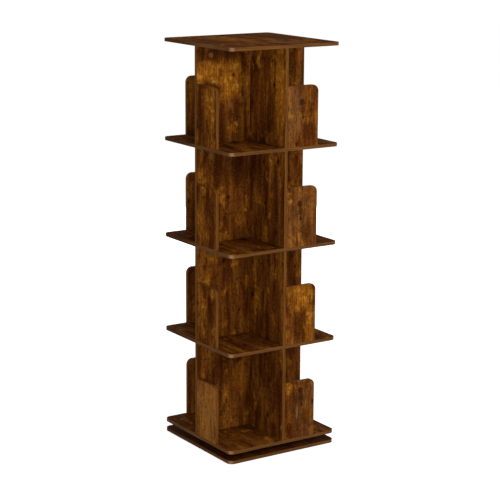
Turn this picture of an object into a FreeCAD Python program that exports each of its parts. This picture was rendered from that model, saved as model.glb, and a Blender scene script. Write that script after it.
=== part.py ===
import FreeCAD, Part
import math
import os

os.makedirs("parts", exist_ok=True)

# A four-tier revolving bookcase. Lengths are in millimetres and angles in degrees.
# The origin is on the floor under the middle of the base board, with +Z up.
# Front is -Y, back +Y, left -X and right +X. Tier 1 is the lowest.

# Driving sizes of the bookcase
side = 460.0               # outer width and depth of every level board
board = 12.0               # thickness of every board
corner_radius = 22.0       # upright corners of the level boards
clear_height = 346.0       # from a shelf up to the underside of the next one
tier_count = 4
swivel_gap = 25.0          # from the base board up to the bottom shelf
band = 0.5                 # edge banding on the rims that show

# Stop panels, each standing flush in a compartment's outer face, against a divider
panel_width = 128.0
panel_height = 215.0
panel_radius = 24.0

# Foot pads
pad_height = 3.0
pad_radius = 15.0
pad_inset = 45.0           # from the sides of the base board to the middle of a pad

# Clearances and overruns
hole_clearance = 0.1       # radial, between a fastener and its hole
bottom_clearance = 0.5     # between a blind hole's bottom and its fastener
overrun = 2.0              # how far a cut runs past the face that it opens

# Wood dowels
dowel_radius = 3.0
dowel_in_face = 8.0        # depth in the face of a level board
dowel_in_edge = 14.0       # depth in the edge of an upright board
dowel_in_side = 5.0        # depth in the side of a divider
low_dowel_reach = 110.0    # from the middle of the bookcase, under a divider
high_dowel_reach = 70.0    # from the middle of the bookcase, over a divider
cross_dowel_shares = (0.3, 0.7)
panel_dowel_inset = 30.0   # from the divider along the stop panel
panel_dowel_share = 0.6

# Countersunk screws, up through a shelf into what stands on it
screw_radius = 2.0
screw_length = 40.0
screw_head_radius = 4.0
screw_head_height = 2.5
screw_reach = 150.0        # from the middle of the bookcase, under a divider
panel_screw_inset = 95.0   # from the divider along the stop panel

# Cam locks, which pull a divider up to the shelf over it
cam_radius = 7.5
cam_depth = 9.5
cam_reach = 170.0          # from the middle of the bookcase
cam_drop = 34.0            # from the shelf over it
bolt_radius = 2.5
bolt_head_radius = 3.2
bolt_head_height = 3.0
bolt_in_face = 9.0         # depth in the shelf over it
cover_radius = 10.0
cover_height = 1.0
cover_edge = 0.4

# Swivel bearing: two pressed plates with a ring of balls between them
swivel_height = 13.0       # over both plates
sheet = 1.6
low_plate_side = 200.0
high_plate_side = 184.0
plate_corner = 8.0
ball_radius = 3.0
ball_circle = 80.0         # radius of the ring of balls
ball_count = 24
ball_clearance = 0.05      # running clearance in the tracks
pocket_clearance = 0.15    # round a ball in the cage
track_angle = 50.0         # from the lowest point of a track to its lip
track_lip = 1.0
track_ramp = 4.0
cage_width = 12.0
cage_height = 1.6

# Pivot bolt, which holds the two plates together
pivot_radius = 4.0
pivot_clearance = 0.05     # running clearance in the upper plate
pivot_head_flats = 13.0
pivot_head_height = 5.3
pivot_pocket_radius = 9.0
pivot_pocket_depth = 5.8
pivot_end = 1.0            # how far the bolt stands out of its nut
washer_radius = 8.0
washer_height = 1.6
washer_lift = 0.1          # running clearance over the upper plate
nut_height = 8.0

# Spacer board between the upper plate and the bottom shelf
spacer_side = 240.0
spacer_corner = 10.0
spacer_bore_radius = 16.0

# Plate and spacer screws
plate_screw_radius = 1.75
plate_screw_length = 11.0
plate_screw_head_radius = 3.5
plate_screw_head_height = 2.2
low_screw_inset = 10.0     # from the sides of the lower plate
high_screw_inset = 12.0    # from the sides of the upper plate
spacer_screw_length = 20.0
spacer_screw_inset = 14.0

# Levels worked out from the sizes above
half = side / 2
half_board = board / 2
quarter_turn = 90.0
quarters = range(4)
base_low = pad_height
base_top = base_low + board
swivel_middle = base_top + swivel_height / 2
spacer_low = base_top + swivel_height
first_shelf = base_top + swivel_gap
pivot_seat = base_low + pivot_pocket_depth
tier_pitch = clear_height + board
panel_middle = -(half - half_board)   # the front stop panel's middle plane

origin = FreeCAD.Vector(0, 0, 0)
along_x = FreeCAD.Vector(1, 0, 0)
along_y = FreeCAD.Vector(0, 1, 0)
along_z = FreeCAD.Vector(0, 0, 1)


def point(x, y, z):
    return FreeCAD.Vector(x, y, z)


def block(low, high):
    # box between two opposite corners
    size = high.sub(low)
    return Part.makeBox(size.x, size.y, size.z, low)


def rod(radius, start, end):
    # round bar from one point to another
    run = end.sub(start)
    return Part.makeCylinder(radius, run.Length, start, run)


def turned(shape, quarter):
    # copy turned about the bookcase's upright axis by quarter turns
    copy = shape.copy()
    copy.rotate(origin, along_z, quarter_turn * quarter)
    return copy


def four(shape):
    # the shape and its three copies, a quarter turn apart
    return [turned(shape, quarter) for quarter in quarters]


def corner_bend(radius):
    # how far the middle of a rounded corner lies inside both of its sides
    return radius * (1 - math.cos(math.radians(quarter_turn / 2)))


def rounded_square(width, radius, low, height):
    # square plate centred on the axis: one side and its corner arc, four times round
    reach = width / 2
    bend = corner_bend(radius)
    start = point(radius - reach, -reach, low)
    end = point(reach - radius, -reach, low)
    middle = point(reach - bend, bend - reach, low)
    arc_end = point(reach, radius - reach, low)
    edges = four(Part.makeLine(start, end)) + four(Part.Arc(end, middle, arc_end).toShape())
    return Part.Face(Part.Wire(Part.__sortEdges__(edges))).extrude(along_z * height)


def hexagon(flats, low, height):
    # hexagonal prism on the axis, given its width across flats
    corner = flats / 2 / math.cos(math.pi / 6)
    turns = [math.pi / 3 * step for step in range(6)]
    ring = [point(corner * math.cos(turn), corner * math.sin(turn), low) for turn in turns]
    outline = Part.makePolygon(ring + ring[:1])
    return Part.Face(outline).extrude(along_z * height)


def countersunk(x, y, low, length, grow):
    # screw with its flat head at the bottom, or its hole when it is grown
    head_radius = screw_head_radius + grow
    radius = screw_radius + grow
    head = Part.makeCone(head_radius, radius, screw_head_height, point(x, y, low))
    shank = rod(radius, point(x, y, low), point(x, y, low + length))
    return head.fuse(shank).removeSplitter()


# Every fastener goes into its node's list, and its hole into the list of the tier that it belongs to
fasteners = {}
holes = {tier: [] for tier in range(tier_count)}


def fasten(node, tier, quarter, solid, hole):
    fasteners.setdefault(node, []).append(turned(solid, quarter))
    holes[tier].append(turned(hole, quarter))


def dowel(node, tier, quarter, seam, run, behind, ahead):
    # dowel across a seam, with its depth on both sides, in a hole a little wider and deeper
    start = seam.sub(run * behind)
    end = seam.add(run * ahead)
    spare = run * bottom_clearance
    solid = rod(dowel_radius, start, end)
    hole = rod(dowel_radius + hole_clearance, start.sub(spare), end.add(spare))
    fasten(node, tier, quarter, solid, hole)


def screw(node, tier, quarter, x, y, low):
    solid = countersunk(x, y, low, screw_length, 0)
    hole = countersunk(x, y, low, screw_length + bottom_clearance, hole_clearance)
    fasten(node, tier, quarter, solid, hole)


def cam_lock(tier, quarter, ceiling):
    # cam in the right side of the front divider, its bolt in the shelf over it, and its cover cap
    middle = point(0, -cam_reach, ceiling - cam_drop)
    face = point(half_board, -cam_reach, ceiling - cam_drop)
    inner = face.sub(along_x * cam_depth)
    head_top = middle.add(along_z * (bolt_head_height / 2))
    head_low = middle.sub(along_z * (bolt_head_height / 2))
    bolt_top = point(0, -cam_reach, ceiling + bolt_in_face)
    bolt = rod(bolt_head_radius, head_low, head_top).fuse(rod(bolt_radius, head_top, bolt_top))
    slot_radius = bolt_head_radius + hole_clearance
    slot_top = middle.add(along_z * (cam_radius + overrun))
    slot = rod(slot_radius, head_low.sub(along_z * hole_clearance), slot_top)
    cam = rod(cam_radius, inner, face).cut(slot)
    cam_bottom = inner.sub(along_x * bottom_clearance)
    cam_bore = rod(cam_radius + hole_clearance, cam_bottom, face.add(along_x * overrun))
    entry = point(0, -cam_reach, ceiling)
    bolt_bore = rod(slot_radius, middle, entry)
    thread_bore = rod(bolt_radius + hole_clearance, entry, bolt_top.add(along_z * bottom_clearance))
    cover = rod(cover_radius, face, face.add(along_x * cover_height))
    rim = [edge for edge in cover.Edges if edge.BoundBox.XMin > half_board + cover_height / 2]
    fasten("cam_bolts", tier, quarter, bolt, bolt_bore.fuse(thread_bore))
    fasten("cam_locks", tier, quarter, cam, cam_bore)
    fasteners.setdefault("cam_covers", []).append(turned(cover.makeChamfer(cover_edge, rim), quarter))


def divider_fasteners(tier, quarter, floor, ceiling):
    # what joins the front divider of a tier to the shelves under and over it
    foot = point(0, -low_dowel_reach, floor)
    head = point(0, -high_dowel_reach, ceiling)
    dowel("divider_dowels", tier, quarter, foot, along_z, dowel_in_face, dowel_in_edge)
    dowel("divider_dowels", tier, quarter, head, along_z, dowel_in_edge, dowel_in_face)
    screw("divider_screws", tier, quarter, 0, -screw_reach, floor - board)
    cam_lock(tier, quarter, ceiling)


def cross_dowels(tier, floor):
    # dowels through the full divider into both half dividers
    reach = half_board + dowel_in_edge
    for share in cross_dowel_shares:
        middle = point(0, 0, floor + clear_height * share)
        dowel("cross_dowels", tier, 0, middle, along_y, reach, reach)


def panel_fasteners(tier, quarter, floor):
    # what holds the front stop panel on its shelf and against the divider
    foot = point(half_board + panel_dowel_inset, panel_middle, floor)
    seam = point(half_board, panel_middle, floor + panel_height * panel_dowel_share)
    dowel("stop_panel_dowels", tier, quarter, foot, along_z, dowel_in_face, dowel_in_edge)
    dowel("stop_panel_dowels", tier, quarter, seam, along_x, dowel_in_side, dowel_in_edge)
    screw("stop_panel_screws", tier, quarter, half_board + panel_screw_inset, panel_middle, floor - board)


def level_board(low):
    # board and edge band of one level, from the outline they share
    core = rounded_square(side - 2 * band, corner_radius - band, low, board)
    rim = rounded_square(side, corner_radius, low, board).cut(core)
    return core, rim


def full_divider(floor, cuts):
    low = point(-half + band, -half_board, floor)
    high = point(half - band, half_board, floor + clear_height)
    return block(low, high).cut(cuts)


def half_divider(floor, quarter, cuts):
    low = point(-half_board, -half + band, floor)
    high = point(half_board, -half_board, floor + clear_height)
    return turned(block(low, high), quarter).cut(cuts)


def divider_band(floor, quarter):
    low = point(-half_board, -half, floor)
    high = point(half_board, -half + band, floor + clear_height)
    return turned(block(low, high), quarter)


def panel_blank(floor, width, height, radius):
    # front stop panel with its outer top corner rounded
    inner = half_board
    outer = inner + width
    top = floor + height
    bend = corner_bend(radius)
    foot = point(inner, -half, floor)
    shoulder = point(inner, -half, top)
    arc_start = point(outer - radius, -half, top)
    arc_middle = point(outer - bend, -half, top - bend)
    arc_end = point(outer, -half, top - radius)
    toe = point(outer, -half, floor)
    edges = [Part.makeLine(foot, shoulder), Part.makeLine(shoulder, arc_start),
             Part.Arc(arc_start, arc_middle, arc_end).toShape(),
             Part.makeLine(arc_end, toe), Part.makeLine(toe, foot)]
    return Part.Face(Part.Wire(edges)).extrude(along_y * board)


def stop_panel(floor, quarter, cuts):
    core = panel_blank(floor, panel_width - band, panel_height - band, panel_radius - band)
    rim = panel_blank(floor, panel_width, panel_height, panel_radius).cut(core)
    return turned(core, quarter).cut(cuts), turned(rim, quarter)


def plate_track(bore_radius, shift):
    # upper or lower line of a plate's section: flat, up a ramp, round the track and down again
    groove = ball_radius + ball_clearance
    reach = groove * math.sin(math.radians(track_angle))
    middle = swivel_height / 2
    lip = middle - groove * math.cos(math.radians(track_angle)) + shift
    flat = sheet + shift
    half_lip = reach + track_lip
    half_foot = half_lip + track_ramp
    line = [point(bore_radius, 0, flat), point(ball_circle - half_foot, 0, flat),
            point(ball_circle - half_lip, 0, lip), point(ball_circle - reach, 0, lip)]
    bottom = point(ball_circle, 0, middle - groove + shift)
    back = [point(ball_circle + reach, 0, lip), point(ball_circle + half_lip, 0, lip),
            point(ball_circle + half_foot, 0, flat)]
    edges = [Part.makeLine(start, end) for start, end in zip(line, line[1:])]
    edges.append(Part.Arc(line[-1], bottom, back[0]).toShape())
    edges += [Part.makeLine(start, end) for start, end in zip(back, back[1:])]
    return edges, line[0], back[-1]


def plate_screw_place(width, inset, level):
    # middle of the screw in one corner of a plate
    return point(width / 2 - inset, width / 2 - inset, level)


def swivel_plate(width, bore_radius, screw_inset):
    # pressed square plate with its ball track, lying on the plane z = 0
    upper, upper_start, upper_end = plate_track(bore_radius, 0)
    lower, lower_start, lower_end = plate_track(bore_radius, -sheet)
    ends = [Part.makeLine(lower_start, upper_start), Part.makeLine(upper_end, lower_end)]
    section = Part.Wire(Part.__sortEdges__(upper + lower + ends))
    track = Part.Face(section).revolve(origin, along_z, 360)
    opening = rod(upper_end.x, origin.sub(along_z * overrun), along_z * (sheet + overrun))
    flange = rounded_square(width, plate_corner, 0, sheet).cut(opening)
    below = plate_screw_place(width, screw_inset, -overrun)
    above = plate_screw_place(width, screw_inset, sheet + overrun)
    screw_hole = rod(plate_screw_radius + hole_clearance, below, above)
    return flange.fuse(track).cut(four(screw_hole)).removeSplitter()


def pan_screw(start, run):
    # pan-head screw that enters its board at the start point, with the head before it
    head = rod(plate_screw_head_radius, start.sub(run * plate_screw_head_height), start)
    shank = rod(plate_screw_radius, start, start.add(run * plate_screw_length))
    return head.fuse(shank).removeSplitter()


def pan_screw_hole(start, run):
    end = start.add(run * (plate_screw_length + bottom_clearance))
    return rod(plate_screw_radius + hole_clearance, start, end)


def export(node, solids):
    shape = solids[0] if len(solids) == 1 else Part.makeCompound(solids)
    shape.exportStep("parts/" + node + ".step")
    print(node, len(shape.Solids), round(shape.Volume))


def build_base():
    # base board on its pads, with the holes for the lower plate's screws and the pivot bolt
    core, rim = level_board(base_low)
    pocket = rod(pivot_pocket_radius, point(0, 0, base_low - overrun), point(0, 0, pivot_seat))
    shank_hole = rod(pivot_radius + hole_clearance, point(0, 0, base_low), point(0, 0, base_top + overrun))
    start = plate_screw_place(low_plate_side, low_screw_inset, base_top + sheet)
    down = -along_z
    export("base_board", [core.cut([pocket, shank_hole] + four(pan_screw_hole(start, down)))])
    export("base_edge_band", [rim])
    export("swivel_lower_screws", four(pan_screw(start, down)))


def build_pads():
    reach = half - pad_inset
    export("foot_pads", four(rod(pad_radius, point(reach, reach, 0), point(reach, reach, pad_height))))


def build_plates():
    # lower plate on the base board, and the upper one upside down under the spacer
    lower = swivel_plate(low_plate_side, pivot_radius + hole_clearance, low_screw_inset)
    lower.translate(along_z * base_top)
    upper = swivel_plate(high_plate_side, pivot_radius + pivot_clearance, high_screw_inset)
    upper = upper.mirror(origin, along_z)
    upper.translate(along_z * spacer_low)
    export("swivel_lower_plate", [lower])
    export("swivel_upper_plate", [upper])


def build_balls():
    # ring of balls half way between the plates, and the cage that keeps them apart
    low = swivel_middle - cage_height / 2
    high = swivel_middle + cage_height / 2
    outer = rod(ball_circle + cage_width / 2, point(0, 0, low), point(0, 0, high))
    inner = rod(ball_circle - cage_width / 2, point(0, 0, low - overrun), point(0, 0, high + overrun))
    balls = []
    pockets = []
    for number in range(ball_count):
        turn = 2 * math.pi * number / ball_count
        x = ball_circle * math.cos(turn)
        y = ball_circle * math.sin(turn)
        balls.append(Part.makeSphere(ball_radius, point(x, y, swivel_middle)))
        pocket_radius = ball_radius + pocket_clearance
        pockets.append(rod(pocket_radius, point(x, y, low - overrun), point(x, y, high + overrun)))
    export("swivel_balls", balls)
    export("swivel_cage", [outer.cut([inner] + pockets)])


def build_pivot():
    # bolt up through the base board and both plates, with its washer and lock nut in the spacer's bore
    washer_low = spacer_low + washer_lift
    nut_low = washer_low + washer_height
    nut_top = nut_low + nut_height
    shank = rod(pivot_radius, point(0, 0, pivot_seat), point(0, 0, nut_top + pivot_end))
    head = hexagon(pivot_head_flats, pivot_seat - pivot_head_height, pivot_head_height)
    washer = rod(washer_radius, point(0, 0, washer_low), point(0, 0, nut_low))
    washer_bore = rod(pivot_radius + hole_clearance, point(0, 0, washer_low), point(0, 0, nut_low))
    nut_bore = rod(pivot_radius + pivot_clearance, point(0, 0, nut_low), point(0, 0, nut_top))
    export("swivel_pivot_bolt", [head.fuse(shank).removeSplitter()])
    export("swivel_washer", [washer.cut(washer_bore)])
    export("swivel_lock_nut", [hexagon(pivot_head_flats, nut_low, nut_height).cut(nut_bore)])


def build_spacer():
    # spacer board with the upper plate's screws, and the screws that hold it to the bottom shelf
    start = plate_screw_place(high_plate_side, high_screw_inset, spacer_low - sheet)
    reach = spacer_side / 2 - spacer_screw_inset
    hole_length = spacer_screw_length + bottom_clearance
    screw_solid = countersunk(reach, reach, spacer_low, spacer_screw_length, 0)
    screw_hole = countersunk(reach, reach, spacer_low, hole_length, hole_clearance)
    board_blank = rounded_square(spacer_side, spacer_corner, spacer_low, first_shelf - spacer_low)
    bore = rod(spacer_bore_radius, point(0, 0, spacer_low - overrun), point(0, 0, first_shelf + overrun))
    cuts = [bore] + four(pan_screw_hole(start, along_z)) + four(screw_hole)
    export("spacer_board", [board_blank.cut(cuts)])
    export("swivel_upper_screws", four(pan_screw(start, along_z)))
    export("spacer_screws", four(screw_solid))
    return four(screw_hole)


def build_tier(tier, floor):
    # dividers and stop panels of one tier, and all that fastens them
    ceiling = floor + clear_height
    for quarter in quarters:
        divider_fasteners(tier, quarter, floor, ceiling)
        panel_fasteners(tier, quarter, floor)
    cross_dowels(tier, floor)
    name = "tier_" + str(tier + 1)
    cuts = holes[tier]
    export(name + "_full_divider", [full_divider(floor, cuts)])
    export(name + "_front_divider", [half_divider(floor, 0, cuts)])
    export(name + "_back_divider", [half_divider(floor, 2, cuts)])
    rims = []
    for quarter, face in enumerate(("front", "right", "back", "left")):
        core, rim = stop_panel(floor, quarter, cuts)
        export(name + "_" + face + "_stop_panel", [core])
        rims.append(rim)
    return rims, [divider_band(floor, quarter) for quarter in quarters]


def build_shelves(spacer_holes):
    # bottom shelf, middle shelves and top board, each bored from above and below
    names = ["bottom_shelf"] + ["shelf_" + str(tier) for tier in range(1, tier_count)] + ["top_board"]
    rims = []
    for level, name in enumerate(names):
        core, rim = level_board(first_shelf + level * tier_pitch)
        under = holes[level - 1] if level else spacer_holes
        over = holes[level] if level < tier_count else []
        export(name, [core.cut(under + over)])
        rims.append(rim)
    export("shelf_edge_bands", rims)


build_base()
build_pads()
build_plates()
build_balls()
build_pivot()
spacer_holes = build_spacer()
panel_rims = []
divider_rims = []
for tier in range(tier_count):
    rims, ends = build_tier(tier, first_shelf + board + tier * tier_pitch)
    panel_rims += rims
    divider_rims += ends
build_shelves(spacer_holes)
export("stop_panel_edge_bands", panel_rims)
export("divider_edge_bands", divider_rims)
for node, solids in fasteners.items():
    export(node, solids)
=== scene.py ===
# Looks for a four-tier revolving bookcase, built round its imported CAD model.
# Metres, origin on the floor under the middle of the base, +Z up; front is -Y and left is -X.
import math

import bpy
import numpy as np
from mathutils import Matrix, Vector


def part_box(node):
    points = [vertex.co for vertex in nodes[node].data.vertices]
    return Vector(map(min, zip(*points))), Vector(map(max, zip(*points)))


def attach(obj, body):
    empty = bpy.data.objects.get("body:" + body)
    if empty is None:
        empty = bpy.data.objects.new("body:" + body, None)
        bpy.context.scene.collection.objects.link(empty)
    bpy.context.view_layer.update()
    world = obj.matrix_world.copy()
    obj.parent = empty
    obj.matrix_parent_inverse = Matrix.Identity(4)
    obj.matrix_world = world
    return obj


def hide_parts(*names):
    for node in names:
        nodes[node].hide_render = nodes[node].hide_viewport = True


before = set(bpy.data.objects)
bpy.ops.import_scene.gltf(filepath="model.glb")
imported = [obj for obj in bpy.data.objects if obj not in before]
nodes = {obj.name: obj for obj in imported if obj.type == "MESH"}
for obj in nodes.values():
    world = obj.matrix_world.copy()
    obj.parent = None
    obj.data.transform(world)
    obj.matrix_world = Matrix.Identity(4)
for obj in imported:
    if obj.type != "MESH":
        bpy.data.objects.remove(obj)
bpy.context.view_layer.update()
scene = bpy.context.scene
mm = 0.001

# the model's boards and tiers, which the print, the edge bands and the cover caps follow
boards = {
    "halfSide": 230 * mm, "thickness": 12 * mm, "cornerRadius": 22 * mm,
    "firstFloor": 52 * mm,           # top of the bottom shelf
    "clearHeight": 346 * mm, "pitch": 358 * mm, "tiers": 4,
}


def linearColour(code):
    # sRGB hex to the linear colour that the nodes take
    parts = [int(code[i:i + 2], 16) / 255 for i in (1, 3, 5)]
    return [c / 12.92 if c <= 0.04045 else ((c + 0.055) / 1.055) ** 2.4 for c in parts] + [1.0]


def addNode(tree, kind, inputs=None, stops=None, **settings):
    # one shader node with its settings; an input is a number, a vector, a hex colour or another node's output
    node = tree.nodes.new("ShaderNode" + kind)
    for name, value in settings.items():
        setattr(node, name, value)
    for key, value in (inputs or {}).items():
        if isinstance(value, bpy.types.NodeSocket):
            tree.links.new(value, node.inputs[key])
        else:
            node.inputs[key].default_value = linearColour(value) if isinstance(value, str) else value
    elements = node.color_ramp.elements if stops else []
    for number, (place, colour) in enumerate(stops or []):
        element = elements[number] if number < 2 else elements.new(place)
        element.position = place
        element.color = linearColour(colour)
    return node


def newMaterial(name):
    material = bpy.data.materials.new(name)
    material.use_nodes = True
    material.node_tree.nodes.clear()
    return material, material.node_tree


grainRange = (0.3, 0.7)              # where nearly all of a noise's values lie
reliefStrength = 0.5


def finishMaterial(tree, look, colour, grain, height):
    # shader on the colour, with roughness from the grain and a shallow relief from the height
    rough = addNode(tree, "MapRange", {"Value": grain, "From Min": grainRange[0], "From Max": grainRange[1],
                                       "To Min": look["roughness"][0], "To Max": look["roughness"][1]})
    relief = addNode(tree, "Bump", {"Strength": reliefStrength, "Distance": look["relief"] * mm,
                                    "Height": height})
    shader = addNode(tree, "BsdfPrincipled", {"Base Color": colour, "Roughness": rough.outputs[0],
                                              "Metallic": look.get("metallic", 0.0),
                                              "Specular IOR Level": look.get("specular", 0.5),
                                              "Normal": relief.outputs[0]})
    addNode(tree, "OutputMaterial", {"Surface": shader.outputs[0]})


# Rustic brown melamine: paper printed with old wood, pressed on particleboard with a satin plate.
# The eye gets cloudy amber and dark zones along the grain, brown streaks, small knots and fine pores.
boardPrint = {
    "tones": [(0.0, "#3e1b06"), (0.45, "#67370f"), (1.0, "#8e571c")],
    "toneSize": (30.0, 240.0),       # mm across and along the grain
    "toneRange": (0.28, 0.72),       # noise values of the first and the last tone
    # each layer: size in mm across and along the grain, detail, noise range, strength, colour
    "layers": [
        ("amber", (60.0, 95.0), 4.0, (0.54, 0.74), 0.75, "#a26014"),
        ("mottle", (11.0, 15.0), 3.0, (0.5, 0.66), 0.5, "#42190a"),
        ("smudge", (36.0, 80.0), 5.0, (0.54, 0.72), 0.7, "#2d1004"),
        ("honey", (22.0, 24.0), 5.0, (0.5, 0.62), 0.75, "#c68b31"),
        ("streak", (6.5, 150.0), 3.0, (0.42, 0.68), 0.42, "#3c1804"),
        ("fibre", (1.8, 65.0), 3.0, (0.45, 0.7), 0.32, "#331404"),
        ("tick", (8.0, 15.0), 3.0, (0.56, 0.66), 0.5, "#3d1b08"),
        ("speckle", (4.0, 5.0), 1.0, (0.7, 0.78), 0.35, "#b98a55"),
        ("pore", (0.7, 9.0), 1.0, (0.62, 0.72), 0.45, "#1d0d05"),
    ],
    "knotCell": (85.0, 130.0),       # mm; a cell holds one knot or none
    "knotShare": 0.6,                # share of the cells without one
    "knotRadius": (0.02, 0.08),      # in cells
    "knotScatter": 0.9,              # how far a knot strays from its cell's middle, from 0 to 1
    "coreReach": (0.5, 1.1),         # in knot radii, from full colour out to none
    "haloReach": (0.6, 2.8),
    "knotPush": 0.7,                 # how strongly the grain bends round a knot, from 0 to 1
    "knotColour": "#220d04",
    "haloColour": "#43200a",
    # how the print jumps: mm per metre through the board, mm per tier, and mm for each way a board faces
    "faceJump": 7310.0, "tierJump": 1931.0, "wayJump": {"X": 0.0, "Y": 500.0, "Z": 900.0},
    "roughness": (0.7, 0.85),
    "specular": 0.004,
    "relief": 0.03,                  # mm
}

# Where the boards have their larger patches, mostly print and some painted shade: colour, middle and reach in
# mm, strength
levelMarks = [
    # the top, with darker strips along its right and back edges, then painted shade on the base where it
    # shows under the bottom shelf
    ("amber", (-50, 60, 1484), (60, 130, 12), 0.5), ("dark", (165, 60, 1484), (46, 130, 12), 0.5),
    ("dark", (-150, 10, 1484), (40, 110, 12), 0.4), ("dark", (-10, -190, 1484), (34, 50, 12), 0.5),
    ("pale", (60, -130, 1484), (60, 90, 12), 0.45), ("dark", (60, 205, 1484), (150, 40, 12), 0.6),
    ("dark", (0, -210, 15), (300, 60, 14), 0.7), ("dark", (-210, 0, 15), (60, 300, 14), 0.7),
]
frontMarks = [
    # tier 4: the divider, with painted shade along its top under the top board, then the stop panel
    ("amber", (-178, -6, 1374), (56, 12, 44), 0.85), ("amber", (-85, -6, 1352), (66, 12, 62), 0.85),
    ("knot", (-76, -6, 1363), (5, 12, 8), 0.9), ("knot", (-127, -6, 1366), (5, 12, 6), 0.6),
    ("dark", (-180, -6, 1316), (52, 12, 20), 0.8), ("dark", (-120, -6, 1443), (110, 12, 26), 0.5),
    ("pale", (30, -230, 1260), (44, 14, 130), 0.35),
    # tier 3
    ("dark", (-92, -6, 1035), (95, 12, 62), 0.6), ("amber", (-208, -6, 1000), (20, 12, 50), 0.5),
    ("pale", (60, -230, 870), (80, 14, 150), 0.2),
    # tier 2
    ("amber", (72, -230, 582), (62, 14, 56), 0.6), ("amber", (112, -230, 500), (22, 14, 90), 0.55),
    ("dark", (62, -230, 468), (30, 14, 52), 0.7), ("dark", (70, -230, 540), (5, 14, 24), 0.5),
    ("dark", (108, -230, 562), (6, 14, 24), 0.45),
    # tier 1, with painted shadow on the divider
    ("dark", (-130, -6, 285), (62, 12, 55), 0.55), ("amber", (-45, -6, 250), (34, 12, 70), 0.35),
    ("dark", (50, -230, 182), (44, 14, 60), 0.65), ("pale", (100, -230, 160), (60, 14, 140), 0.2),
    ("amber", (110, -230, 140), (20, 14, 36), 0.6),
]
# the print comes again on three front stop panels: a knot with a mottled tail, placed from the knot
knotPlaces = [(66, 1283), (61, 922), (74, 231)]
knotFigure = [
    ("knot", (-1, 0), (12, 12), 0.85), ("dark", (1, -28), (11, 17), 0.75), ("knot", (3, -54), (6, 10), 0.85),
    ("dark", (27, -100), (26, 46), 0.6), ("pale", (-15, -78), (6, 30), 0.5), ("pale", (38, 0), (6, 12), 0.35),
    ("pale", (24, -62), (6, 20), 0.4), ("dark", (-11, -136), (6, 26), 0.55),
]
frontMarks += [(kind, (x + dx, -230, z + dz), (wide, 14, tall), force)
               for x, z in knotPlaces for kind, (dx, dz), (wide, tall), force in knotFigure]
sideMarks = [
    # tier 4: the divider, then the stop panel
    ("amber", (-6, -150, 1388), (12, 16, 62), 0.6), ("amber", (-6, -200, 1290), (12, 34, 190), 0.85),
    ("dark", (-6, -138, 1225), (12, 22, 105), 0.55), ("amber", (-230, -100, 1285), (14, 34, 100), 0.6),
    ("dark", (-230, -28, 1220), (14, 24, 110), 0.7), ("dark", (-230, -46, 1336), (14, 50, 8), 0.5),
    # tier 3
    ("dark", (-6, -50, 1020), (12, 60, 70), 0.55), ("dark", (-230, -90, 912), (14, 20, 56), 0.65),
    ("amber", (-230, -34, 850), (14, 26, 70), 0.35),
    # tier 2
    ("dark", (-230, -92, 545), (14, 20, 50), 0.5), ("amber", (-230, -40, 520), (14, 30, 90), 0.3),
    ("amber", (-230, -108, 604), (14, 24, 20), 0.55),
    # tier 1, with painted shadow on the divider
    ("dark", (-6, -135, 290), (12, 80, 100), 0.6), ("tan", (-230, -74, 160), (14, 96, 175), 0.72),
    ("amber", (-230, -30, 120), (14, 20, 60), 0.4), ("dark", (-230, -104, 84), (14, 22, 46), 0.2),
    ("amber", (-230, -96, 214), (14, 24, 26), 0.3), ("dark", (-230, -44, 236), (14, 26, 26), 0.2),
    ("dark", (-230, -66, 176), (14, 4, 6), 0.7), ("dark", (-230, -34, 208), (14, 4, 7), 0.6),
    ("dark", (-230, -98, 128), (14, 4, 8), 0.5),
]
markColours = {"amber": "#a26014", "pale": "#96683a", "tan": "#ae7236", "dark": "#2d1105", "knot": "#220d04"}
# of the distance in reaches plus ragged times the noise: all the force up to full, nothing from none on
markRim = {"ragged": 1.6, "full": 1.2, "none": 2.1}


def markSpread(tree, place, middle, size, force, noise):
    # force at a patch's middle, falling to nothing round it, with a rim made ragged by the noise
    offset = addNode(tree, "VectorMath", {0: place, 1: [m * mm for m in middle]}, operation="SUBTRACT")
    offset = addNode(tree, "VectorMath", {0: offset.outputs[0], 1: [s * mm for s in size]},
                     operation="DIVIDE")
    distance = addNode(tree, "VectorMath", {0: offset.outputs[0]}, operation="LENGTH").outputs["Value"]
    ragged = addNode(tree, "Math", {0: noise, 1: markRim["ragged"], 2: distance},
                     operation="MULTIPLY_ADD").outputs[0]
    return addNode(tree, "MapRange", {"Value": ragged, "From Min": markRim["none"],
                                      "From Max": markRim["full"], "To Max": force},
                   interpolation_type="SMOOTHSTEP").outputs[0]


def printPlane(tree, place, axes, look):
    # coordinates in mm, which jump from face to face and, on upright boards, from tier to tier
    across, along, through = axes
    parts = addNode(tree, "SeparateXYZ", {0: place}).outputs
    shift = addNode(tree, "Math", {0: parts[through], 1: look["faceJump"]}, operation="MULTIPLY").outputs[0]
    if along == "Z":
        begin = boards["firstFloor"] - boards["thickness"] / 2
        tier = addNode(tree, "Math", {0: parts["Z"], 1: 1 / boards["pitch"], 2: -begin / boards["pitch"]},
                       operation="MULTIPLY_ADD").outputs[0]
        tier = addNode(tree, "Math", {0: tier}, operation="FLOOR").outputs[0]
        shift = addNode(tree, "Math", {0: tier, 1: look["tierJump"], 2: shift},
                        operation="MULTIPLY_ADD").outputs[0]
    first, second = [addNode(tree, "Math", {0: parts[axis], 1: 1 / mm, 2: shift},
                             operation="MULTIPLY_ADD").outputs[0] for axis in (across, along)]
    second = addNode(tree, "Math", {0: look["wayJump"][through], 1: second}, operation="ADD").outputs[0]
    return addNode(tree, "CombineXYZ", {0: first, 1: second}).outputs[0]


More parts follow.
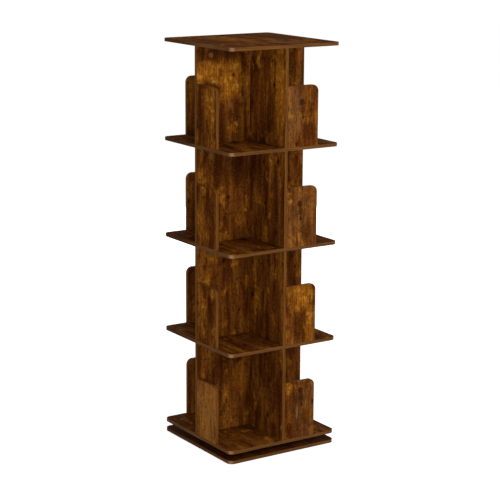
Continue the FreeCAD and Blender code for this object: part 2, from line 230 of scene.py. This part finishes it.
def knotRings(tree, plane, look):
    # some cells hold a knot: the shares of its core and halo, and the plane with the grain bent round it
    wide, tall = look["knotCell"]
    cells = addNode(tree, "VectorMath", {0: plane, 1: (1 / wide, 1 / tall, 1)},
                    operation="MULTIPLY").outputs[0]
    knots = addNode(tree, "TexVoronoi", {"Vector": cells, "Scale": 1.0, "Randomness": look["knotScatter"]},
                    voronoi_dimensions="2D")
    chance = addNode(tree, "SeparateXYZ", {0: knots.outputs["Color"]}).outputs
    present = addNode(tree, "Math", {0: chance[0], 1: look["knotShare"]},
                      operation="GREATER_THAN").outputs[0]
    radius = addNode(tree, "MapRange", {"Value": chance[1], "To Min": look["knotRadius"][0],
                                        "To Max": look["knotRadius"][1]}).outputs[0]
    radii = addNode(tree, "Math", {0: knots.outputs["Distance"], 1: radius}, operation="DIVIDE").outputs[0]
    rings = []
    for full, none in (look["coreReach"], look["haloReach"]):
        ring = addNode(tree, "MapRange", {"Value": radii, "From Min": none, "From Max": full}).outputs[0]
        rings.append(addNode(tree, "Math", {0: ring, 1: present}, operation="MULTIPLY").outputs[0])
    core, halo = rings
    aside = addNode(tree, "VectorMath", {0: cells, 1: knots.outputs["Position"]},
                    operation="SUBTRACT").outputs[0]
    push = addNode(tree, "VectorMath", {0: aside, "Scale": halo}, operation="SCALE").outputs[0]
    bent = addNode(tree, "VectorMath", {0: push, 1: (-look["knotPush"] * wide, 0, 0), 2: plane},
                   operation="MULTIPLY_ADD").outputs[0]
    return core, halo, bent


def melamine(name, axes, marks, look):
    # axes: the directions across the grain, along it and through the board
    material, tree = newMaterial(name)
    place = addNode(tree, "TexCoord").outputs["Object"]
    core, halo, plane = knotRings(tree, printPlane(tree, place, axes, look), look)

    # tone bands along the grain, then the layers over them
    wide, tall = look["toneSize"]
    scaled = addNode(tree, "VectorMath", {0: plane, 1: (1 / wide, 1 / tall, 1)}, operation="MULTIPLY")
    tone = addNode(tree, "TexNoise", {"Vector": scaled.outputs[0], "Scale": 1.0, "Detail": 4.0,
                                      "Roughness": 0.55, "Distortion": 0.3}, noise_dimensions="2D")
    tone = addNode(tree, "MapRange", {"Value": tone.outputs[0], "From Min": look["toneRange"][0],
                                      "From Max": look["toneRange"][1]})
    colour = addNode(tree, "ValToRGB", {0: tone.outputs[0]}, stops=look["tones"]).outputs[0]
    noises = {}
    for layer, (wide, tall), detail, (low, high), strength, tint in look["layers"]:
        scaled = addNode(tree, "VectorMath", {0: plane, 1: (1 / wide, 1 / tall, 1)}, operation="MULTIPLY")
        noise = addNode(tree, "TexNoise", {"Vector": scaled.outputs[0], "Scale": 1.0, "Detail": detail,
                                           "Roughness": 0.6}, noise_dimensions="2D").outputs[0]
        share = addNode(tree, "MapRange", {"Value": noise, "From Min": low, "From Max": high,
                                           "To Max": strength}, interpolation_type="SMOOTHSTEP").outputs[0]
        noises[layer] = noise
        if layer == "amber":
            golden = share
        if layer == "honey":
            # the listed patches come under the streaks, and honey spots lie in the amber only
            for kind, middle, size, force in marks:
                spread = markSpread(tree, place, middle, size, force, noises["smudge"])
                colour = addNode(tree, "Mix", {0: spread, 6: colour, 7: markColours[kind]},
                                 data_type="RGBA").outputs[2]
                golden = addNode(tree, "Math", {0: golden, 1: spread}, use_clamp=True,
                                 operation="ADD" if kind == "amber" else "SUBTRACT").outputs[0]
                if kind == "tan":
                    # clear wood, with no knots
                    core, halo = [addNode(tree, "Math", {0: ring, 1: spread}, use_clamp=True,
                                          operation="SUBTRACT").outputs[0] for ring in (core, halo)]
            share = addNode(tree, "Math", {0: share, 1: golden}, operation="MULTIPLY").outputs[0]
        colour = addNode(tree, "Mix", {0: share, 6: colour, 7: tint}, data_type="RGBA").outputs[2]
    for share, tint in ((halo, look["haloColour"]), (core, look["knotColour"])):
        colour = addNode(tree, "Mix", {0: share, 6: colour, 7: tint}, data_type="RGBA").outputs[2]
    height = addNode(tree, "Math", {0: noises["fibre"], 1: noises["pore"]}, operation="SUBTRACT").outputs[0]
    finishMaterial(tree, look, colour, noises["fibre"], height)
    return material


def speckled(name, look):
    # two-tone grain: its size in mm along x, y and z stretches it into printed lines or brush marks
    material, tree = newMaterial(name)
    place = addNode(tree, "TexCoord").outputs["Object"]
    scaled = addNode(tree, "VectorMath", {0: place, 1: [1 / (s * mm) for s in look["size"]]},
                     operation="MULTIPLY")
    grain = addNode(tree, "TexNoise", {"Vector": scaled.outputs[0], "Scale": 1.0, "Detail": 4.0,
                                       "Roughness": 0.6}).outputs[0]
    tone = addNode(tree, "MapRange", {"Value": grain, "From Min": grainRange[0],
                                      "From Max": grainRange[1]}).outputs[0]
    colour = addNode(tree, "ValToRGB", {0: tone}, stops=look["tones"]).outputs[0]
    # listed patches over the grain; on the level banding these are painted shade and a painted highlight
    for kind, middle, size, force in look.get("marks", []):
        spread = markSpread(tree, place, middle, size, force, grain)
        colour = addNode(tree, "Mix", {0: spread, 6: colour, 7: markColours[kind]},
                         data_type="RGBA").outputs[2]
    if "paintedCornerHighlight" in look:
        # painted highlight on the corners: how far out a point lies in both directions at once, which is
        # large only on a corner
        pale, most, (begin, end) = look["paintedCornerHighlight"]
        out = addNode(tree, "VectorMath", {0: place}, operation="ABSOLUTE").outputs[0]
        out = addNode(tree, "SeparateXYZ", {0: out}).outputs
        out = addNode(tree, "Math", {0: out["X"], 1: out["Y"]}, operation="MINIMUM").outputs[0]
        share = addNode(tree, "MapRange", {"Value": out, "From Min": begin * mm, "From Max": end * mm,
                                           "To Max": most}, interpolation_type="SMOOTHSTEP").outputs[0]
        colour = addNode(tree, "Mix", {0: share, 6: colour, 7: pale}, data_type="RGBA").outputs[2]
    finishMaterial(tree, look, colour, grain, grain)
    return material


# painted shade and a painted highlight on the bands round the level boards: shade along the back half of
# their left edges and on the base's left and front edges, and a highlight on the top board's front edge near
# its front corner
bandPaintedShadeAndHighlight = [
    ("dark", (-230, 150, 950), (30, 150, 900), 0.7), ("dark", (-230, 90, 8), (30, 220, 22), 0.45),
    ("amber", (-90, -230, 1478), (110, 20, 12), 0.12), ("dark", (-120, -230, 8), (400, 20, 22), 0.12),
]

# ABS edge banding, printed to match, trimmed and buffed: smoother than the boards
banding = {"roughness": (0.3, 0.4), "specular": 0.01, "relief": 0.02}
plainLooks = {
    # printed lines run round the level boards, and up the upright ones; round each corner of a level board
    # the band has a painted highlight,
    # a paler colour: colour, share, and where that begins and ends in mm
    "absBandingLevel": {"size": (90.0, 90.0, 1.6),
                        "tones": [(0.0, "#482b12"), (0.5, "#603d1d"), (1.0, "#7a532e")],
                        "marks": bandPaintedShadeAndHighlight, "paintedCornerHighlight": ("#a98460", 0.5, (211.0, 223.0)), **banding},
    "absBandingUpright": {"size": (1.6, 1.6, 90.0),
                          "tones": [(0.0, "#4a2a0f"), (0.5, "#633d17"), (1.0, "#7d5124")], **banding},
    # raw particleboard: pale brown chips pressed flat
    "particleBoardRaw": {"size": (4.0, 4.0, 1.5), "tones": [(0.0, "#7d5f3e"), (1.0, "#cfb285")],
                         "roughness": (0.75, 0.9), "relief": 0.15},
    # turned beech: pale, with short pink-brown flecks
    "beechTurned": {"size": (1.0, 1.0, 12.0), "tones": [(0.0, "#b48757"), (1.0, "#dab787")],
                    "roughness": (0.55, 0.7), "relief": 0.05},
    # pressed steel, zinc plated: grey with a faint blue cast and soft blotches
    "zincPlatedSteel": {"size": (6.0, 6.0, 6.0), "tones": [(0.0, "#a5aab0"), (1.0, "#caced2")],
                        "roughness": (0.28, 0.42), "metallic": 1.0, "relief": 0.01},
    # ground and polished ball steel: near mirror
    "bearingSteelPolished": {"size": (2.0, 2.0, 2.0), "tones": [(0.0, "#c2c5c9"), (1.0, "#d8dadc")],
                             "roughness": (0.07, 0.12), "metallic": 1.0, "relief": 0.001},
    # die-cast zinc: dull grey with a fine cast skin
    "zincDieCast": {"size": (1.5, 1.5, 1.5), "tones": [(0.0, "#828487"), (1.0, "#a9abad")],
                    "roughness": (0.45, 0.6), "metallic": 1.0, "relief": 0.04},
    # moulded natural nylon: milky white
    "nylonMoulded": {"size": (3.0, 3.0, 3.0), "tones": [(0.0, "#d6d2c6"), (1.0, "#e9e6dd")],
                     "roughness": (0.38, 0.5), "relief": 0.02},
    # moulded brown ABS, paler than the boards round it
    "absCapMoulded": {"size": (2.0, 2.0, 14.0), "tones": [(0.0, "#5c3a19"), (1.0, "#765028")],
                      "roughness": (0.38, 0.48), "specular": 0.03, "relief": 0.02},
    # moulded rubber: near black and matt
    "rubberMoulded": {"size": (1.0, 1.0, 1.0), "tones": [(0.0, "#161618"), (1.0, "#28282b")],
                      "roughness": (0.75, 0.9), "specular": 0.3, "relief": 0.05},
}

print("materials")
finishes = {name: speckled(name, look) for name, look in plainLooks.items()}
finishes["rusticLevel"] = melamine("rusticMelamineLevel", ("X", "Y", "Z"), levelMarks, boardPrint)
finishes["rusticFront"] = melamine("rusticMelamineFacingFront", ("X", "Z", "Y"), frontMarks, boardPrint)
finishes["rusticSide"] = melamine("rusticMelamineFacingSide", ("Y", "Z", "X"), sideMarks, boardPrint)

# the first pair whose word is in a node's name gives its finish
finishByName = [
    ("dowels", "beechTurned"), ("screws", "zincPlatedSteel"), ("bolt", "zincPlatedSteel"),
    ("covers", "absCapMoulded"), ("cam_locks", "zincDieCast"), ("balls", "bearingSteelPolished"),
    ("cage", "nylonMoulded"), ("pads", "rubberMoulded"), ("spacer_board", "particleBoardRaw"),
    ("bands", "absBandingUpright"), ("edge_band", "absBandingLevel"), ("swivel", "zincPlatedSteel"),
    ("full_divider", "rusticFront"), ("front_stop", "rusticFront"), ("back_stop", "rusticFront"),
    ("divider", "rusticSide"), ("stop_panel", "rusticSide"), ("", "rusticLevel"),
]
for name, node in nodes.items():
    finish = next(finish for word, finish in finishByName if word in name)
    for slot in node.material_slots:
        slot.material = finishes[finish]


def gridSurface(grid, closed=False):
    # points and faces of a grid whose columns go round: quads between the rows, and a lid on each open end
    index = np.arange(grid.shape[0] * grid.shape[1]).reshape(grid.shape[:2])
    lids = [] if closed else [index[:1], index[-1:, ::-1]]
    index = np.concatenate([index, index[:1]]) if closed else index
    a, b = index[:-1], index[1:]
    quads = np.stack([a, b, np.roll(b, -1, 1), np.roll(a, -1, 1)], -1).reshape(-1, 4)
    return grid.reshape(-1, 3), [quads] + lids


def turnedCopies(points, faces):
    # four copies, a quarter turn apart about the upright axis; faces are arrays of vertex numbers
    turn = np.array([[0, 1, 0], [-1, 0, 0], [0, 0, 1.0]])
    return [(points @ np.linalg.matrix_power(turn, quarter), faces) for quarter in range(4)]


def makePiece(name, parts, material, body, replaced, sharp=20):
    # one object from parts that are each points and faces, smooth up to the sharp angle in degrees
    points = np.concatenate([part[0] for part in parts])
    starts = np.cumsum([0] + [len(part[0]) for part in parts])
    faces = [face for (_, arrays), start in zip(parts, starts) for array in arrays
             for face in (array + start).tolist()]
    mesh = bpy.data.meshes.new(name)
    mesh.from_pydata(points.tolist(), [], faces)
    mesh.polygons.foreach_set("use_smooth", np.ones(len(faces), bool))
    mesh.set_sharp_from_angle(angle=math.radians(sharp))
    mesh.materials.append(material)
    piece = bpy.data.objects.new(name, mesh)
    scene.collection.objects.link(piece)
    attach(piece, body)
    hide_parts(*replaced)


# the edge bands: the CAD strips again, with their outer edges trimmed round
bandShape = {
    "thickness": 0.5 * mm, "edgeRadius": 0.35 * mm, "edgeSteps": 3, "cornerSteps": 20,
    "panelWidth": 128 * mm, "panelHeight": 215 * mm, "panelRadius": 24 * mm,
}


def bandSection(shape):
    # closed section of a band: distance outwards, and distance across the board, with two quarter rounds
    turn = np.linspace(0, math.pi / 2, shape["edgeSteps"] + 1)
    r, t, w = shape["edgeRadius"], shape["thickness"], boards["thickness"]
    out = np.concatenate([[-t], -r + r * np.sin(turn), -r + r * np.cos(turn), [-t]])
    across = np.concatenate([[0], r - r * np.cos(turn), w - r + r * np.sin(turn), [w]])
    return out, across


def sweep(path, outward, across, section, closed=False):
    # surface: point on the path, plus the section's distances along the outward and across directions
    out, wide = section
    grid = path[:, None] + outward[:, None] * out[None, :, None] + across[None, None] * wide[None, :, None]
    return gridSurface(grid, closed)


def squarePath(shape):
    # round a square: four corner arcs, each on its own centre, joined by the straight sides
    turn = np.linspace(0, math.pi / 2, shape["cornerSteps"] + 1)
    turns = (turn[None] + math.pi / 2 * np.arange(4)[:, None]).ravel()
    outward = np.stack([np.cos(turns), np.sin(turns), 0 * turns], 1)
    reach = boards["halfSide"] - boards["cornerRadius"]
    corners = np.repeat(np.array([[1, 1, 0], [-1, 1, 0], [-1, -1, 0], [1, -1, 0.0]]), len(turn), 0)
    return corners * reach + boards["cornerRadius"] * outward, outward


def panelPath(shape, shelfTop):
    # along the top of the front stop panel, round its outer corner and down to the shelf
    turn = np.linspace(math.pi / 2, 0, shape["cornerSteps"] + 1)
    inner = boards["thickness"] / 2
    outer, top, r = inner + shape["panelWidth"], shelfTop + shape["panelHeight"], shape["panelRadius"]
    arc = np.stack([outer - r + r * np.cos(turn), 0 * turn, top - r + r * np.sin(turn)], 1)
    path = np.concatenate([[[inner, 0, top]], arc, [[outer, 0, shelfTop]]])
    corner = np.stack([np.cos(turn), 0 * turn, np.sin(turn)], 1)
    outward = np.concatenate([[[0, 0, 1.0]], corner, [[1.0, 0, 0]]])
    path[:, 1] = -boards["halfSide"]
    return path, outward


print("edge bands")
section = bandSection(bandShape)
right, back, up = np.eye(3)          # one metre each way
path, outward = squarePath(bandShape)
levels = [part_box(name)[0].z for name in ("bottom_shelf", "shelf_1", "shelf_2", "shelf_3", "top_board")]
rings = [sweep(path + up * level, outward, up, section, closed=True) for level in levels]
makePiece("shelfEdgeBands", rings, finishes["absBandingLevel"], "tower", ["shelf_edge_bands"])
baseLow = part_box("base_board")[0].z
baseRing = [sweep(path + up * baseLow, outward, up, section, closed=True)]
makePiece("baseEdgeBand", baseRing, finishes["absBandingLevel"], "base", ["base_edge_band"])

panelParts, dividerParts = [], []
for tier in range(boards["tiers"]):
    shelfTop = boards["firstFloor"] + tier * boards["pitch"]
    path, outward = panelPath(bandShape, shelfTop)
    panelParts += turnedCopies(*sweep(path, outward, back, section))
    foot = np.array([-boards["thickness"] / 2, -boards["halfSide"], shelfTop])
    ends = np.stack([foot, foot + up * boards["clearHeight"]])
    dividerParts += turnedCopies(*sweep(ends, np.stack([-back, -back]), right, section))
makePiece("stopPanelEdgeBands", panelParts, finishes["absBandingUpright"], "tower",
          ["stop_panel_edge_bands"])
makePiece("dividerEdgeBands", dividerParts, finishes["absBandingUpright"], "tower",
          ["divider_edge_bands"])


# the cover caps: a pressed-in disc over each cam lock, crowned, with a rounded rim
capShape = {
    "radius": 10 * mm, "height": 1 * mm, "crown": 0.25 * mm, "rim": 0.45 * mm, "steps": 6, "segments": 40,
    "innerShare": 0.25,              # radius of the flat middle, as a share of the crown's
    "reach": 170 * mm,               # from the middle of the bookcase
    "belowCeiling": 34 * mm,
}


def capDisc(shape):
    # height over radius r: crowned by crown * (r / flat)^2 to the rim, then a quarter round to the board
    steps, rim, flat = shape["steps"], shape["rim"], shape["radius"] - shape["rim"]
    r = flat * np.linspace(shape["innerShare"], 1, steps)
    turn = np.linspace(0, math.pi / 2, steps)[1:]
    h = shape["height"] - shape["crown"] * (r / flat) ** 2
    radii = np.concatenate([r, flat + rim * np.sin(turn), [shape["radius"]]])
    heights = np.concatenate([h, h[-1] - rim + rim * np.cos(turn), [0]])
    angle = 2 * math.pi * np.arange(shape["segments"]) / shape["segments"]
    rings = np.stack([heights[:, None] + 0 * angle, radii[:, None] * np.cos(angle),
                      radii[:, None] * np.sin(angle)], -1)
    return gridSurface(rings)


print("cover caps")
disc, discFaces = capDisc(capShape)
capParts = []
for tier in range(boards["tiers"]):
    ceiling = boards["firstFloor"] + tier * boards["pitch"] + boards["clearHeight"]
    place = [boards["thickness"] / 2, -capShape["reach"], ceiling - capShape["belowCeiling"]]
    capParts += turnedCopies(disc + place, discFaces)
makePiece("camCoverCaps", capParts, finishes["absCapMoulded"], "tower", ["cam_covers"],
          sharp=50)


# the studio: a pale floor, soft lamps, and the camera where the photograph was taken from
print("floor, light and camera")
studio = {
    "floorSize": 60.0, "floorColour": "#e6e6e6", "floorGlow": 0.78,
    "white": "#ffffff", "ambient": 0.3,
    "lamps": {
        # name: (azimuth, elevation, distance, width, height, power), aimed at the middle of the bookcase
        "keyLamp": (-36.0, 6.0, 4.5, 0.8, 2.2, 88.0),
        "rightLamp": (14.0, 28.0, 4.5, 1.8, 1.8, 72.0),
        "backLamp": (150.0, 0.0, 4.5, 2.4, 1.3, 50.0),
        "topLamp": (0.0, 80.0, 4.0, 2.0, 2.0, 12.0),
    },
    "steep": 75.0,                   # degrees; a lamp above this has its upper side to the back
    "aim": (0.0, 0.0, 0.74),
    "cameraPlace": (-3.12122, -4.73723, 1.99465),
    "cameraForward": (0.536983, 0.814509, -0.219602),
    "cameraUp": (0.116187, 0.186429, 0.975574),
    "lens": 114.37, "sensor": 36.0, "clipEnd": 200.0,
}

floorMesh = bpy.data.meshes.new("floor")
reach = studio["floorSize"]
floorMesh.from_pydata([(-reach, -reach, 0), (reach, -reach, 0), (reach, reach, 0), (-reach, reach, 0)], [],
                      [(0, 1, 2, 3)])
floor = bpy.data.objects.new("floor", floorMesh)
scene.collection.objects.link(floor)

paper, paperTree = newMaterial("studioPaper")
floorMesh.materials.append(paper)
world = bpy.data.worlds.new("studio")
scene.world = world
world.use_nodes = True
world.node_tree.nodes.clear()
for tree in (paperTree, world.node_tree):
    # white where the camera, or a reflection, sees it
    rays = addNode(tree, "LightPath").outputs
    seen = addNode(tree, "Math", {0: rays["Is Camera Ray"], 1: rays["Is Glossy Ray"]},
                   operation="MAXIMUM").outputs[0]
    seen = addNode(tree, "Math", {0: seen, 1: rays["Is Transmission Ray"]}, operation="MAXIMUM").outputs[0]
    if tree == paperTree:
        glow = addNode(tree, "Math", {0: seen, 1: studio["floorGlow"]}, operation="MULTIPLY").outputs[0]
        light = addNode(tree, "Emission", {"Color": studio["white"], "Strength": glow})
        matt = addNode(tree, "BsdfDiffuse", {"Color": studio["floorColour"]})
        both = addNode(tree, "AddShader", {0: light.outputs[0], 1: matt.outputs[0]})
        addNode(tree, "OutputMaterial", {"Surface": both.outputs[0]})
    else:
        level = addNode(tree, "MapRange", {"Value": seen, "To Min": studio["ambient"], "To Max": 1.0})
        sky = addNode(tree, "Background", {"Color": studio["white"], "Strength": level.outputs[0]})
        addNode(tree, "OutputWorld", {"Surface": sky.outputs[0]})


def aimedRotation(forward, upward):
    # turns a lamp or camera so that it looks along forward, with its upper side to upward
    f = np.array(forward) / np.linalg.norm(forward)
    r = np.cross(f, upward)
    r = r / np.linalg.norm(r)
    u = np.cross(r, f)
    return Matrix(np.stack([r, u, -f], 1).tolist()).to_quaternion()


for name, (azimuth, elevation, distance, width, height, power) in studio["lamps"].items():
    lamp = bpy.data.lights.new(name, "AREA")
    lamp.shape = "RECTANGLE"
    lamp.size = width
    lamp.size_y = height
    lamp.energy = power
    holder = bpy.data.objects.new(name, lamp)
    a, e = math.radians(azimuth), math.radians(elevation)
    away = np.array([math.sin(a) * math.cos(e), -math.cos(a) * math.cos(e), math.sin(e)])
    holder.location = np.array(studio["aim"]) + away * distance
    holder.rotation_mode = "QUATERNION"
    holder.rotation_quaternion = aimedRotation(-away, back if elevation > studio["steep"] else up)
    scene.collection.objects.link(holder)

camera = bpy.data.cameras.new("camera")
camera.lens = studio["lens"]
camera.sensor_width = studio["sensor"]
camera.clip_end = studio["clipEnd"]
cameraHolder = bpy.data.objects.new("camera", camera)
cameraHolder.location = studio["cameraPlace"]
cameraHolder.rotation_mode = "QUATERNION"
cameraHolder.rotation_quaternion = aimedRotation(studio["cameraForward"], studio["cameraUp"])
scene.collection.objects.link(cameraHolder)
scene.camera = cameraHolder
scene.view_settings.view_transform = "Standard"

print("done")
